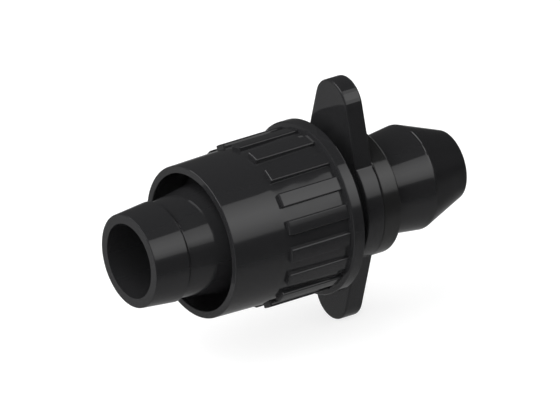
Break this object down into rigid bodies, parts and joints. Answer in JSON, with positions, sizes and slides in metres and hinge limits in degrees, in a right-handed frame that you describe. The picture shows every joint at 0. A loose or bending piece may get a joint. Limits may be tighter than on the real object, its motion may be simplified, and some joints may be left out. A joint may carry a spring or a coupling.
{
  "type": "offtake coupling",
  "caption": "Pipe offtake coupling: barbed tape spigot with a ribbed lock nut on a coarse thread, winged hub, rubber sealing ring and push-in barb.",
  "frame": {"origin": "centre of the bore at the spigot's open end, on the coupling's axis", "axes": "+X along the axis from the spigot to the offtake barb, +Z towards the wing that is uppermost in the picture, with the axis level as when the barb is held in a pipe's side"},
  "size_m": [0.064, 0.0296, 0.0434],
  "materials": {
    "moulded_black": "semi-gloss moulded",
    "nut_black": "semi-gloss moulded",
    "rubber_black": "smooth moulded rubber"
  },
  "bodies": {
    "coupling": {"coupling_body": "moulded_black"},
    "ring": {"pipe_seal": "rubber_black"},
    "nut": {"lock_nut": "nut_black"}
  },
  "joints": [
    {"name": "nut_turn", "type": "hinge", "parent": "coupling", "child": "ring", "pos_m": [0, 0, 0], "axis": [1, 0, 0], "range_deg": [-720, 306]},
    {"name": "nut_travel", "type": "slide", "parent": "ring", "child": "nut", "axis": [1, 0, 0], "range_m": [-0.0081, 0.0035]}
  ],
  "couplings": [
    {"joint": "nut_travel", "follows": "nut_turn", "m_per_rad": 0.00063662}
  ]
}
